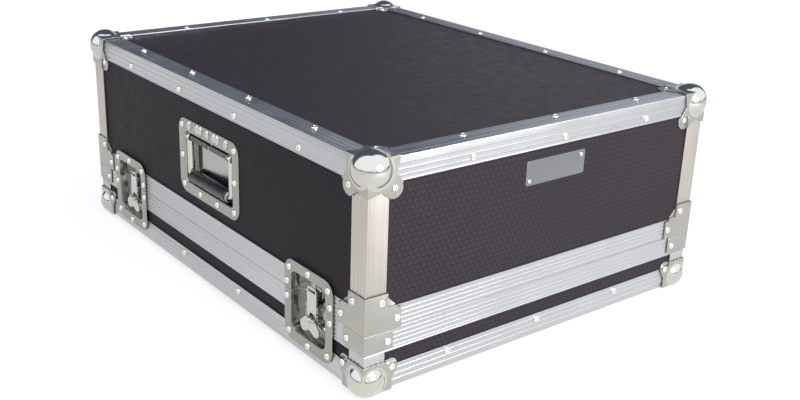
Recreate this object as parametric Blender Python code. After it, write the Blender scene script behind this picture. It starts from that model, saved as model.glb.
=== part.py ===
"""Mixer flight case: a deep lift-off lid on a shallow base tray, with recessed butterfly catches and spring
handles.  Front (catches and handle) faces -Y, the length runs along X, and the case stands on z = 0."""

import math

import bmesh
import bpy
from mathutils import Matrix, Vector

# Overall sizes, over the flat faces of the aluminium edge angles, in metres.
CASE_LENGTH = 0.720
CASE_DEPTH = 0.567
CASE_HEIGHT = 0.2825
SPLIT_HEIGHT = 0.076

# Boards and aluminium sections.
BOARD = 0.009
ANGLE_WALL = 0.002
ANGLE_LEG = 0.0288
RIB_HEIGHT = 0.00035
RIB_WIDTH = 0.0016
LEG_RIB_FIRST = 0.008
LEG_RIB_PITCH = 0.0072
LEG_RIBS = 3
STUB_DOWEL = 0.004
RIM_HEIGHT = 0.028
RIM_SEAT = 0.007
RIM_INNER_WALL = 0.0018
RIM_RIB_PITCH = 0.0057
RIM_RIBS = 5
LID_RIM_RIB_FIRST = 0.004
BASE_RIM_RIB_FIRST = 0.001
TONGUE_WIDTH = 0.004
TONGUE_HEIGHT = 0.0042
TONGUE_TAPER = 0.0006
TONGUE_CLEARANCE = 0.0006

# Clearances between touching pieces and round moving ones.
GAP = 0.0003
RUNNING_GAP = 0.0004

# Pressed steel fittings that lie on the ribs.
FITTING_SHEET = 0.00135
CORNER_STEPS = 4
SMALL_STEPS = 2

# Facets of round bars and of the small pins.
ROUND_SEGMENTS = 12
PIN_SEGMENTS = 8
GRIP_SEGMENTS = 16
WELD_DISTANCE = 0.00001

# Ball corners.
BALL_RADIUS = 0.0205
BALL_INSET = 0.011
BALL_SEGMENTS = 16
BALL_RINGS = 8
LOBE_STEPS = 5
TIP_REACH = 0.0415
NOTCH_REACH = 0.0375
NOTCH_OFFSET = 0.0175
LOBE_CENTRE = 0.0363
LOBE_RADIUS = 0.0123
FOOT_REACH = 0.0395
FOOT_TOP = 0.036
FOOT_WAIST = 0.013
FOOT_LOBE_X = 0.039
FOOT_LOBE_Z = 0.0285
FOOT_LOBE_RADIUS = 0.009

# Corner braces at the joint line.
BRACE_LEG = 0.0305
BRACE_RISE = 0.047
BRACE_REACH = 0.0505
BRACE_BAND = 0.026
BRACE_LIP = 0.015
BASE_BRACE_REACH = 0.040
BASE_BRACE_DROP = 0.025
BASE_BRACE_RADIUS = 0.005

# Recessed butterfly catches.
CATCH_INSET = 0.1125
CATCH_WIDTH = 0.104
CATCH_LOW = 0.009
CATCH_HIGH = 0.117
CATCH_RADIUS = 0.017
CATCH_WELL_WIDTH = 0.075
CATCH_WELL_LOW = 0.0235
CATCH_WELL_HIGH = 0.1035
CATCH_WELL_RADIUS = 0.010
CATCH_WELL_DEPTH = 0.0107
DISH_SHEET = 0.001
STUD_HEIGHT = 0.050
STUD_RADIUS = 0.004
PIN_DEPTH = 0.0014
PIN_RADIUS = 0.0012
KNUCKLE_RADIUS = 0.0015
SHOULDER_RISE = 0.0009
LUG_RADIUS = 0.0029
LUG_HALF_WIDTH = 0.0035
WING_SHEET = 0.0016
WING_HALF_KNUCKLE = 0.0095
WING_LOBE_X = 0.0125
WING_LOBE_Z = 0.0115
WING_LOBE_RADIUS = 0.008
WING_WAIST = 0.014
WING_STEPS = 6
HOOK_DEPTH = 0.0033
HOOK_SHEET = 0.0014
HOOK_HALF_WIDTH = 0.010
HOOK_TRAVEL = 0.0043
HOOK_BAR = 0.0032
HOOK_TAIL = 0.004
WINDOW_RADIUS = 0.0015
EAR_ROOT = 0.001
EAR_HEIGHT = 0.058
EAR_RADIUS = 0.0011
CHEEK_WALL = 0.0024
CHEEK_LOW = 0.047
CHEEK_HIGH = 0.069
CHEEK_SPREAD = 0.004
MOUNT_HALF_WIDTH = 0.024
MOUNT_LOW = 0.037
MOUNT_HIGH = 0.070
MOUNT_SHEET = 0.0013
MOUNT_RADIUS = 0.006
KEEPER_TIP_HEIGHT = 0.086
KEEPER_TIP_DEPTH = 0.006
KEEPER_HALF_WIDTH = 0.007
KEEPER_RISE = 0.0017
STRIKE_HALF_WIDTH = 0.015
STRIKE_LOW = 0.080
STRIKE_HIGH = 0.101
STRIKE_SHEET = 0.001
STRIKE_RADIUS = 0.003

# Recessed spring handles.
HANDLE_WIDTH = 0.162
HANDLE_LOW = 0.1175
HANDLE_HIGH = 0.225
HANDLE_RADIUS = 0.018
HANDLE_WELL_WIDTH = 0.128
HANDLE_WELL_LOW = 0.134
HANDLE_WELL_HIGH = 0.206
HANDLE_WELL_RADIUS = 0.005
HANDLE_WELL_DEPTH = 0.0155
HANDLE_SHEET = 0.0012
HINGE_DEPTH = 0.005
HINGE_DROP = 0.007
HINGE_ROD_RADIUS = 0.003
EYE_RADIUS = 0.0055
BAIL_ROD_RADIUS = 0.0042
BAIL_SIDE_GAP = 0.003
BAIL_BEND_RADIUS = 0.0062
GRIP_RADIUS = 0.009
GRIP_LENGTH = 0.100
GRIP_FLOOR_GAP = 0.0015
BUMP_WIDTH = 0.0085
BUMP_HEIGHT = 0.014
BUMP_PROUD = 0.0035
BUMP_RISE = 0.011
BUMP_SEGMENTS = 6
BUMP_RINGS = 4
BUMP_PLACES = (-0.050, -0.0275, -0.0185, 0.0, 0.0185, 0.0275, 0.050)

# Foam cradle in the base.
FOAM_BORDER = 0.045
FOAM_FLOOR = 0.015
FOAM_HEIGHT = 0.050
FOAM_RADIUS = 0.006
RECESS_RADIUS = 0.020

# Sizes that follow from the ones above.
FOOT_HEIGHT = BALL_RADIUS - BALL_INSET
BOARD_INSET = ANGLE_WALL + GAP
BOARD_BACK = BOARD_INSET + BOARD
RIM_INNER = BOARD_BACK + GAP
RIM_BACK = RIM_INNER + RIM_INNER_WALL
SEAT_LOW = RIB_HEIGHT + GAP
SEAT_HIGH = SEAT_LOW + FITTING_SHEET
STEP_HIGH = SEAT_HIGH - BOARD_INSET - RIB_HEIGHT
STEP_LOW = GAP - BOARD_INSET
BALL_CLEAR = BALL_RADIUS * 3
HALF_LENGTH = CASE_LENGTH / 2
HALF_DEPTH = CASE_DEPTH / 2
LID_LOW = SPLIT_HEIGHT + GAP / 2
BASE_HIGH = SPLIT_HEIGHT - GAP / 2
CORNER_NAMES = ("front_left", "front_right", "back_right", "back_left")
CATCH_NAMES = ("front_left", "front_right", "back_left", "back_right")


def make_material(name, colour, roughness, metallic):
    material = bpy.data.materials.new(name)
    material.use_nodes = True
    shader = material.node_tree.nodes["Principled BSDF"]
    shader.inputs["Base Color"].default_value = (*colour, 1)
    shader.inputs["Roughness"].default_value = roughness
    shader.inputs["Metallic"].default_value = metallic
    return material


def start_scene():
    """Empties the scene and makes the two collections and the empty that every piece hangs from."""
    for old in list(bpy.data.objects):
        bpy.data.objects.remove(old)
    parts = bpy.data.collections.new("mixer_flight_case")
    cutters = bpy.data.collections.new("cutters")
    for collection in (parts, cutters):
        bpy.context.scene.collection.children.link(collection)
    root = bpy.data.objects.new("case_underside", None)
    root.location.z = FOOT_HEIGHT
    parts.objects.link(root)
    return parts, cutters, root


PARTS, CUTTERS, ROOT = start_scene()
MATERIALS = {
    "board": make_material("board", (0.030, 0.027, 0.030), 0.55, 0.0),
    "aluminium": make_material("aluminium", (0.78, 0.78, 0.80), 0.35, 1.0),
    "zinc": make_material("zinc", (0.72, 0.73, 0.72), 0.22, 1.0),
    "chrome": make_material("chrome", (0.80, 0.82, 0.84), 0.12, 1.0),
    "rubber": make_material("rubber", (0.015, 0.015, 0.018), 0.6, 0.0),
    "foam": make_material("foam", (0.04, 0.04, 0.045), 0.95, 0.0),
}


def solid(mesh):
    """A working object in the cutters collection, hidden from renders."""
    obj = bpy.data.objects.new("working", mesh)
    obj.hide_render = True
    obj.display_type = "WIRE"
    CUTTERS.objects.link(obj)
    return obj


def solid_from(bm):
    mesh = bpy.data.meshes.new("working")
    bm.to_mesh(mesh)
    bm.free()
    return solid(mesh)


def evaluated_mesh(obj):
    graph = bpy.context.evaluated_depsgraph_get()
    return bpy.data.meshes.new_from_object(obj.evaluated_get(graph))


def box(low, high):
    """A block between two opposite corners."""
    low = Vector(low)
    high = Vector(high)
    bm = bmesh.new()
    bmesh.ops.create_cube(bm, size=1)
    bmesh.ops.scale(bm, vec=high - low, verts=bm.verts)
    bmesh.ops.translate(bm, vec=(low + high) / 2, verts=bm.verts)
    return solid_from(bm)


def rod(radius, low, high, axis, centre=(0, 0, 0), segments=ROUND_SEGMENTS):
    """A cylinder along X, Y or Z between two places on that axis."""
    bm = bmesh.new()
    bmesh.ops.create_cone(
        bm,
        cap_ends=True,
        segments=segments,
        radius1=radius,
        radius2=radius,
        depth=high - low,
    )
    bmesh.ops.translate(bm, vec=(0, 0, (low + high) / 2), verts=bm.verts)
    turns = {"X": Matrix.Rotation(math.pi / 2, 3, "Y"), "Y": Matrix.Rotation(-math.pi / 2, 3, "X")}
    if axis in turns:
        bmesh.ops.rotate(bm, matrix=turns[axis], verts=bm.verts)
    bmesh.ops.translate(bm, vec=centre, verts=bm.verts)
    return solid_from(bm)


def slab(outline, low, high, plane="XY"):
    """A filled flat outline given a thickness.  XY lies flat, with low and high as heights.  XZ stands on the
    front face, with low and high as distances outwards.  YZ is a side view, with low and high along X."""
    curve = bpy.data.curves.new("outline", "CURVE")
    curve.dimensions = "2D"
    curve.fill_mode = "BOTH"
    curve.extrude = (high - low) / 2
    spline = curve.splines.new("POLY")
    spline.points.add(len(outline) - 1)
    for point, place in zip(spline.points, outline):
        point.co = (*place, 0, 1)
    spline.use_cyclic_u = True
    drawn = bpy.data.objects.new("outline", curve)
    CUTTERS.objects.link(drawn)
    mesh = evaluated_mesh(drawn)
    bpy.data.objects.remove(drawn)
    bm = bmesh.new()
    bm.from_mesh(mesh)
    bmesh.ops.remove_doubles(bm, verts=bm.verts, dist=WELD_DISTANCE)
    bmesh.ops.translate(bm, vec=(0, 0, (low + high) / 2), verts=bm.verts)
    if plane == "XZ":
        bmesh.ops.rotate(bm, matrix=Matrix.Rotation(math.pi / 2, 3, "X"), verts=bm.verts)
    if plane == "YZ":
        bmesh.ops.rotate(bm, matrix=Matrix.Rotation(math.pi / 2, 3, "X"), verts=bm.verts)
        bmesh.ops.rotate(bm, matrix=Matrix.Rotation(math.pi / 2, 3, "Z"), verts=bm.verts)
    return solid_from(bm)


def combine(target, tool, operation, solver="EXACT"):
    """Joins, cuts or trims one working object with another, which is then removed."""
    modifier = target.modifiers.new(operation.title(), "BOOLEAN")
    modifier.operation = operation
    modifier.solver = solver
    modifier.object = tool
    mesh = evaluated_mesh(target)
    target.modifiers.clear()
    target.data = mesh
    bpy.data.objects.remove(tool)
    return target


def union(target, *tools):
    for tool in tools:
        combine(target, tool, "UNION")
    return target


def fuse(target, *tools):
    """A union of shapes that share faces, which the exact solver would leave open."""
    for tool in tools:
        combine(target, tool, "UNION", "MANIFOLD")
    return target


def cut(target, *tools):
    for tool in tools:
        combine(target, tool, "DIFFERENCE")
    return target


def carve(target, *tools):
    """A cut into a fused shape, which the exact solver would leave open."""
    for tool in tools:
        combine(target, tool, "DIFFERENCE", "MANIFOLD")
    return target


def trim(target, tool):
    return combine(target, tool, "INTERSECT")


def piece(name, source, material, location=(0, 0, 0), quarter_turns=0, parent=None):
    """A finished piece: the working mesh in its place, with its own material."""
    obj = bpy.data.objects.new(name, source.data)
    obj.data.materials.clear()
    obj.data.materials.append(MATERIALS[material])
    obj.data.shade_smooth()
    obj.data.set_sharp_from_angle(angle=math.radians(35))
    obj.location = location
    obj.rotation_euler.z = quarter_turns * math.pi / 2
    obj.parent = parent or ROOT
    PARTS.objects.link(obj)
    return obj


def cut_later(obj, *cutters):
    """Leaves live Boolean cuts on a piece."""
    for cutter in cutters:
        modifier = obj.modifiers.new("cut " + cutter.name, "BOOLEAN")
        modifier.operation = "DIFFERENCE"
        modifier.object = cutter


def arc(centre, radius, start, end, steps=CORNER_STEPS):
    """Points along an arc, with its angles in degrees."""
    points = []
    for step in range(steps + 1):
        angle = math.radians(start + (end - start) * step / steps)
        points.append((centre[0] + radius * math.cos(angle), centre[1] + radius * math.sin(angle)))
    return points


def rounded(left, right, low, high, radius, steps=CORNER_STEPS):
    """A rectangle with round corners."""
    points = []
    corners = ((right, high, 0), (left, high, 90), (left, low, 180), (right, low, 270))
    for x, y, start in corners:
        centre_x = x - math.copysign(radius, x - (left + right) / 2)
        centre_y = y - math.copysign(radius, y - (low + high) / 2)
        points += arc((centre_x, centre_y), radius, start, start + 90, steps)
    return points


def rib_line(first, pitch, count, end):
    """(distance, height) points along a ribbed face, with a bead at its far edge."""
    points = []
    for index in range(count):
        middle = first + index * pitch
        points += [
            (middle - RIB_WIDTH / 2, 0),
            (middle - RIB_WIDTH / 4, RIB_HEIGHT),
            (middle + RIB_WIDTH / 4, RIB_HEIGHT),
            (middle + RIB_WIDTH / 2, 0),
        ]
    return points + [(end - RIB_WIDTH, 0), (end - RIB_WIDTH * 0.75, RIB_HEIGHT), (end, RIB_HEIGHT)]


def leg_ribs(ribbed):
    if ribbed:
        return rib_line(LEG_RIB_FIRST, LEG_RIB_PITCH, LEG_RIBS, ANGLE_LEG)
    return [(ANGLE_LEG, 0)]


def angle_section(ribbed_x=True, ribbed_y=True):
    """The edge angle in plan, its corner at the origin and its legs along +X and +Y, ribs outwards."""
    along_x = [(distance, -height) for distance, height in leg_ribs(ribbed_x)]
    along_y = [(-height, distance) for distance, height in leg_ribs(ribbed_y)]
    inside = [(ANGLE_LEG, ANGLE_WALL), (ANGLE_WALL, ANGLE_WALL), (ANGLE_WALL, ANGLE_LEG)]
    return [(0, 0)] + along_x + inside + along_y[::-1]


def sweep(section, corners, closed):
    """Lofts a section of (inset, height) points through mitred corners, given as (x, y, x inwards, y inwards)."""
    bm = bmesh.new()
    rings = []
    for x, y, inward_x, inward_y in corners:
        ring = [bm.verts.new((x + inset * inward_x, y + inset * inward_y, height)) for inset, height in section]
        rings.append(ring)
    following = rings[1:] + rings[:1] if closed else rings[1:]
    for ring, other in zip(rings, following):
        for index in range(len(section)):
            bm.faces.new((ring[index - 1], ring[index], other[index], other[index - 1]))
    if not closed:
        bm.faces.new(rings[0])
        bm.faces.new(rings[-1][::-1])
    bmesh.ops.recalc_face_normals(bm, faces=bm.faces)
    return solid_from(bm)


def ring_corners():
    return (
        (-HALF_LENGTH, -HALF_DEPTH, 1, 1),
        (HALF_LENGTH, -HALF_DEPTH, -1, 1),
        (HALF_LENGTH, HALF_DEPTH, -1, -1),
        (-HALF_LENGTH, HALF_DEPTH, 1, -1),
    )


def corner_places(height):
    """The case's four corners, in the order of CORNER_NAMES; each is a quarter turn on from the one before."""
    return [(x, y, height) for x, y, _, _ in ring_corners()]


def edge_section(low):
    """The horizontal edge angle: (inset, height) points with the corner at the top, or at the bottom if low."""
    sign = 1 if low else -1
    edge = 0 if low else CASE_HEIGHT
    return [(inset, edge + sign * rise) for inset, rise in angle_section()]


def lid_rim_section():
    """The closing profile's groove half, which holds the lid boards in a channel."""
    middle = (BOARD_INSET + BOARD_BACK) / 2
    groove = TONGUE_WIDTH / 2 + TONGUE_CLEARANCE
    ceiling = LID_LOW + TONGUE_HEIGHT + TONGUE_CLEARANCE
    top = SPLIT_HEIGHT + RIM_HEIGHT
    seat = SPLIT_HEIGHT + RIM_SEAT
    ribs = rib_line(LID_RIM_RIB_FIRST, RIM_RIB_PITCH, RIM_RIBS - 1, RIM_HEIGHT)
    outside = [(-height, SPLIT_HEIGHT + distance) for distance, height in ribs]
    inside = [(ANGLE_WALL, top), (ANGLE_WALL, seat), (RIM_INNER, seat), (RIM_INNER, top), (RIM_BACK, top)]
    under = [(RIM_BACK, LID_LOW), (middle + groove, LID_LOW), (middle + groove, ceiling)]
    return [(0, LID_LOW)] + outside + inside + under + [(middle - groove, ceiling), (middle - groove, LID_LOW)]


def base_rim_section():
    """The closing profile's tongue half, on the base boards."""
    middle = (BOARD_INSET + BOARD_BACK) / 2
    half = TONGUE_WIDTH / 2
    bottom = SPLIT_HEIGHT - RIM_HEIGHT
    seat = SPLIT_HEIGHT - RIM_SEAT
    ribs = rib_line(BASE_RIM_RIB_FIRST, RIM_RIB_PITCH, RIM_RIBS, RIM_HEIGHT)
    outside = [(-height, SPLIT_HEIGHT - distance) for distance, height in ribs]
    inside = [(ANGLE_WALL, bottom), (ANGLE_WALL, seat), (RIM_INNER, seat), (RIM_INNER, bottom), (RIM_BACK, bottom)]
    tongue = [
        (RIM_BACK, BASE_HIGH),
        (middle + half, BASE_HIGH),
        (middle + half - TONGUE_TAPER, BASE_HIGH + TONGUE_HEIGHT),
        (middle - half + TONGUE_TAPER, BASE_HIGH + TONGUE_HEIGHT),
        (middle - half, BASE_HIGH),
    ]
    return [(0, BASE_HIGH)] + outside + inside + tongue


def inward_box(x, y, z, up):
    """A block from ranges measured inwards from a case corner; up is 1 for a lower corner, -1 for an upper one."""
    heights = sorted((up * z[0], up * z[1]))
    return box((x[0], y[0], heights[0]), (x[1], y[1], heights[1]))


def fitting_faces(side, flat, up):
    """Sheet blanks on the two upright faces of a corner and, if flat is given, on its level face."""
    outline = [(along, up * away) for along, away in side]
    blanks = [slab(outline, STEP_LOW, SEAT_HIGH, "XZ"), slab(outline, -SEAT_HIGH, -STEP_LOW, "YZ")]
    if flat:
        levels = sorted((-up * STEP_LOW, -up * SEAT_HIGH))
        blanks.append(slab(flat, levels[0], levels[1]))
    return fuse(*blanks)


def top_corner_outline():
    """The pressed flange on an upper corner: two pointed tips and a round rivet lobe, alike about the diagonal."""
    lobe = arc((LOBE_CENTRE, LOBE_CENTRE), LOBE_RADIUS, -35, 125, LOBE_STEPS)
    return (
        [(-SEAT_HIGH, -SEAT_HIGH), (TIP_REACH, -SEAT_HIGH), (NOTCH_REACH, NOTCH_OFFSET)]
        + lobe
        + [(NOTCH_OFFSET, NOTCH_REACH), (-SEAT_HIGH, TIP_REACH)]
    )


def foot_corner_outline():
    """The upright flange of a lower corner: a rivet lobe over a narrow waist."""
    lobe = arc((FOOT_LOBE_X, FOOT_LOBE_Z), FOOT_LOBE_RADIUS, -40, 90, LOBE_STEPS)
    return (
        [(-SEAT_HIGH, -SEAT_HIGH), (FOOT_REACH, -SEAT_HIGH), (FOOT_REACH, FOOT_WAIST)]
        + lobe
        + [(ANGLE_LEG, FOOT_TOP), (-SEAT_HIGH, FOOT_TOP)]
    )


def ball_corner(side, flat, up):
    """A ball over a case corner, pressed in one with its flanges, which step down off the angles on to the boards."""
    bm = bmesh.new()
    bmesh.ops.create_uvsphere(bm, u_segments=BALL_SEGMENTS, v_segments=BALL_RINGS, radius=BALL_RADIUS)
    bmesh.ops.translate(bm, vec=(BALL_INSET, BALL_INSET, up * BALL_INSET), verts=bm.verts)
    corner = fuse(fitting_faces(side, flat, up), solid_from(bm))
    over = (-SEAT_LOW, BALL_CLEAR)
    beyond_leg = (ANGLE_LEG + GAP, 2 * BALL_CLEAR)
    to_board = (-2 * BALL_CLEAR, -STEP_LOW)
    case = cut(
        inward_box(over, over, over, up),
        inward_box(beyond_leg, beyond_leg, to_board, up),
        inward_box(beyond_leg, to_board, beyond_leg, up),
        inward_box(to_board, beyond_leg, beyond_leg, up),
    )
    past_step = (ANGLE_LEG + GAP + FITTING_SHEET, 2 * BALL_CLEAR)
    above_lobe = (-2 * BALL_CLEAR, -STEP_HIGH)
    return carve(
        corner,
        case,
        inward_box(past_step, past_step, above_lobe, up),
        inward_box(past_step, above_lobe, past_step, up),
        inward_box(above_lobe, past_step, past_step, up),
    )


def lid_brace():
    """The L-shaped brace over a lid corner, with a lip between its legs that steps down on to the boards."""
    edge = ANGLE_LEG + GAP
    rim_top = SPLIT_HEIGHT + RIM_HEIGHT + GAP
    band_top = SPLIT_HEIGHT + BRACE_BAND
    top = SPLIT_HEIGHT + BRACE_RISE
    outline = [
        (-SEAT_HIGH, LID_LOW),
        (BRACE_REACH, LID_LOW),
        (BRACE_REACH, band_top),
        (edge + BRACE_LIP, band_top),
        (edge + BRACE_LIP, rim_top),
        (edge, rim_top + BRACE_LIP),
        (BRACE_LEG, rim_top + BRACE_LIP),
        (BRACE_LEG, top),
        (-SEAT_HIGH, top),
    ]
    brace = fitting_faces(outline, None, 1)
    over = (-SEAT_LOW, BALL_CLEAR)
    beyond_leg = (edge, 2 * BALL_CLEAR)
    beyond_rim = (rim_top, 2 * CASE_HEIGHT)
    to_board = (-2 * BALL_CLEAR, -STEP_LOW)
    case = cut(
        inward_box(over, over, (0, CASE_HEIGHT), 1),
        inward_box(beyond_leg, to_board, beyond_rim, 1),
        inward_box(to_board, beyond_leg, beyond_rim, 1),
    )
    past_leg = (edge + FITTING_SHEET, 2 * BALL_CLEAR)
    past_rim = (rim_top + FITTING_SHEET, 2 * CASE_HEIGHT)
    above_lip = (-2 * BALL_CLEAR, -STEP_HIGH)
    return cut(
        brace,
        case,
        inward_box(past_leg, above_lip, past_rim, 1),
        inward_box(above_lip, past_leg, past_rim, 1),
    )


def base_brace():
    """The plain brace over a base corner, round at its far ends."""
    low = SPLIT_HEIGHT - BASE_BRACE_DROP
    radius = BASE_BRACE_RADIUS
    outline = (
        [(-SEAT_HIGH, low)]
        + arc((BASE_BRACE_REACH - radius, low + radius), radius, -90, 0)
        + arc((BASE_BRACE_REACH - radius, BASE_HIGH - radius), radius, 0, 90)
        + [(-SEAT_HIGH, BASE_HIGH)]
    )
    over = (-SEAT_LOW, BALL_CLEAR)
    return cut(fitting_faces(outline, None, 1), inward_box(over, over, (0, CASE_HEIGHT), 1))


def dish(plate, plate_radius, well, well_radius, depth, sheet, seat):
    """A pressed dish: a flat rim (left, right, low, high) round a well, with seat as the rim's lower face."""
    left, right, low, high = well
    top = seat + FITTING_SHEET
    outside = rounded(left - sheet, right + sheet, low - sheet, high + sheet, well_radius + sheet)
    cup = slab(outside, -depth - sheet, seat + FITTING_SHEET / 2, "XZ")
    shell = union(slab(rounded(*plate, plate_radius), seat, top, "XZ"), cup)
    return cut(shell, slab(rounded(*well, well_radius), -depth, top + BOARD, "XZ"))


def catch_dish():
    half_plate = CATCH_WIDTH / 2
    half_well = CATCH_WELL_WIDTH / 2
    plate = (-half_plate, half_plate, CATCH_LOW, CATCH_HIGH)
    well = (-half_well, half_well, CATCH_WELL_LOW, CATCH_WELL_HIGH)
    return dish(plate, CATCH_RADIUS, well, CATCH_WELL_RADIUS, CATCH_WELL_DEPTH, DISH_SHEET, SEAT_LOW)


def catch_keeper():
    """The lid half of a catch: a strike plate on the dish floor, with a tab bent up and outwards at 45 degrees."""
    reach = CASE_HEIGHT
    half = trim(catch_dish(), box((-reach, -reach, LID_LOW), (reach, reach, reach)))
    floor = CATCH_WELL_DEPTH + DISH_SHEET / 2
    strike = slab(
        rounded(-STRIKE_HALF_WIDTH, STRIKE_HALF_WIDTH, STRIKE_LOW, STRIKE_HIGH, STRIKE_RADIUS, SMALL_STEPS),
        -floor,
        STRIKE_SHEET - CATCH_WELL_DEPTH,
        "XZ",
    )
    drop = floor - KEEPER_TIP_DEPTH
    tab = slab(
        [
            (KEEPER_TIP_DEPTH, KEEPER_TIP_HEIGHT - KEEPER_RISE),
            (floor, KEEPER_TIP_HEIGHT - KEEPER_RISE - drop),
            (floor, KEEPER_TIP_HEIGHT - drop),
            (KEEPER_TIP_DEPTH, KEEPER_TIP_HEIGHT),
        ],
        -KEEPER_HALF_WIDTH,
        KEEPER_HALF_WIDTH,
        "YZ",
    )
    return union(half, strike, tab)


def catch_latch():
    """The base half of a catch: a mounting plate with a bearing for the key, between two cheeks whose 45-degree
    notches guide the hook's ears."""
    reach = CASE_HEIGHT
    half = trim(catch_dish(), box((-reach, -reach, -reach), (reach, reach, BASE_HIGH)))
    floor = CATCH_WELL_DEPTH + DISH_SHEET / 2
    face = CATCH_WELL_DEPTH - MOUNT_SHEET
    outline = rounded(-MOUNT_HALF_WIDTH, MOUNT_HALF_WIDTH, MOUNT_LOW, MOUNT_HIGH, MOUNT_RADIUS, SMALL_STEPS)
    half = union(half, slab(outline, -floor, -face, "XZ"))
    inner = HOOK_HALF_WIDTH + 2 * RUNNING_GAP
    for side in (-1, 1):
        low, high = sorted((side * inner, side * (inner + CHEEK_WALL)))
        profile = [
            (HOOK_DEPTH, CHEEK_LOW),
            (floor, CHEEK_LOW - CHEEK_SPREAD),
            (floor, CHEEK_HIGH + CHEEK_SPREAD),
            (HOOK_DEPTH, CHEEK_HIGH),
        ]
        half = union(half, slab(profile, low, high, "YZ"))
    width = EAR_RADIUS + RUNNING_GAP
    ear_depth = HOOK_DEPTH + HOOK_SHEET / 2
    rise = HOOK_TRAVEL + ear_depth
    notch = slab(
        [
            (ear_depth - rise - width, EAR_HEIGHT + rise - width),
            (ear_depth + HOOK_TRAVEL - width, EAR_HEIGHT - HOOK_TRAVEL - width),
            (ear_depth + HOOK_TRAVEL + width, EAR_HEIGHT - HOOK_TRAVEL - width),
            (ear_depth + HOOK_TRAVEL + width, EAR_HEIGHT - HOOK_TRAVEL + width),
            (ear_depth - rise + width, EAR_HEIGHT + rise + width),
        ],
        -MOUNT_HALF_WIDTH,
        MOUNT_HALF_WIDTH,
        "YZ",
    )
    bearing = rod(STUD_RADIUS + GAP, face - MOUNT_SHEET, CATCH_WELL_DEPTH, "Y", (0, 0, STUD_HEIGHT))
    return cut(half, notch, bearing)


def catch_key():
    """The turning key: a stud with a lug that holds the wing's pin.  Its origin is on the stud's axis."""
    shoulder = PIN_DEPTH + WING_SHEET / 2 + RUNNING_GAP
    stud = rod(STUD_RADIUS, shoulder, CATCH_WELL_DEPTH - GAP, "Y")
    root = (shoulder + HOOK_DEPTH) / 2
    outline = [(root, -LUG_RADIUS), (root, LUG_RADIUS)] + arc((PIN_DEPTH, 0), LUG_RADIUS, 90, 270, LOBE_STEPS)
    lug = slab(outline, -LUG_HALF_WIDTH, LUG_HALF_WIDTH, "YZ")
    hole = rod(PIN_RADIUS + RUNNING_GAP, -STUD_RADIUS, STUD_RADIUS, "X", (0, PIN_DEPTH, 0), PIN_SEGMENTS)
    return cut(union(stud, lug), hole)


def catch_wing():
    """The butterfly wing: two lobes under a hinge pin.  Its origin is on the pin."""
    notch = LUG_HALF_WIDTH + RUNNING_GAP
    notch_low = -LUG_RADIUS - 2 * RUNNING_GAP
    right_lobe = arc((WING_LOBE_X, -WING_LOBE_Z), WING_LOBE_RADIUS, 60, -130, WING_STEPS)
    right = [(notch, notch_low), (notch, SHOULDER_RISE), (WING_HALF_KNUCKLE, SHOULDER_RISE)] + right_lobe
    left = [(-x, z) for x, z in right[::-1]]
    plate = slab(right + [(0, -WING_WAIST)] + left, -WING_SHEET / 2, WING_SHEET / 2, "XZ")
    pin = rod(PIN_RADIUS, -WING_HALF_KNUCKLE + GAP, WING_HALF_KNUCKLE - GAP, "X", segments=PIN_SEGMENTS)
    knuckles = [
        rod(KNUCKLE_RADIUS, min(a, b), max(a, b), "X", segments=PIN_SEGMENTS)
        for a, b in ((notch, WING_HALF_KNUCKLE), (-notch, -WING_HALF_KNUCKLE))
    ]
    return union(plate, *knuckles, pin)


def catch_hook():
    """The hook plate: a slot round the stud, a window for the keeper tab and two ears that ride in the cheeks.
    Its origin is on the ears' axis, in the plane of the catch's middle."""
    middle = HOOK_DEPTH + HOOK_SHEET / 2
    window_top = KEEPER_TIP_HEIGHT + KEEPER_TIP_DEPTH - HOOK_DEPTH + RUNNING_GAP
    window_low = (
        KEEPER_TIP_HEIGHT - KEEPER_RISE - (HOOK_DEPTH + HOOK_SHEET + HOOK_TRAVEL - KEEPER_TIP_DEPTH)
        + HOOK_TRAVEL
        - RUNNING_GAP
    )
    window = KEEPER_HALF_WIDTH + 2 * RUNNING_GAP
    slot = STUD_RADIUS + RUNNING_GAP
    bottom = STUD_HEIGHT - slot - HOOK_TAIL
    top = window_top + HOOK_BAR
    outline = rounded(-HOOK_HALF_WIDTH, HOOK_HALF_WIDTH, bottom, top, HOOK_TAIL, SMALL_STEPS)
    hook = slab(outline, -HOOK_DEPTH - HOOK_SHEET, -HOOK_DEPTH, "XZ")
    through = (-CATCH_WELL_DEPTH, BOARD)
    slot_outline = arc((0, STUD_HEIGHT + HOOK_TRAVEL), slot, 0, 180, LOBE_STEPS)
    slot_outline += arc((0, STUD_HEIGHT), slot, 180, 360, LOBE_STEPS)
    window_outline = rounded(-window, window, window_low, window_top, WINDOW_RADIUS, SMALL_STEPS)
    hook = cut(hook, slab(slot_outline, *through, "XZ"), slab(window_outline, *through, "XZ"))
    ear_reach = HOOK_HALF_WIDTH + 2 * RUNNING_GAP + CHEEK_WALL
    for side in (-1, 1):
        low, high = sorted((side * (HOOK_HALF_WIDTH - EAR_ROOT), side * ear_reach))
        hook = union(hook, rod(EAR_RADIUS, low, high, "X", (0, middle, EAR_HEIGHT), PIN_SEGMENTS))
    hook.data.transform(Matrix.Translation((0, -middle, -EAR_HEIGHT)))
    return hook


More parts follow.
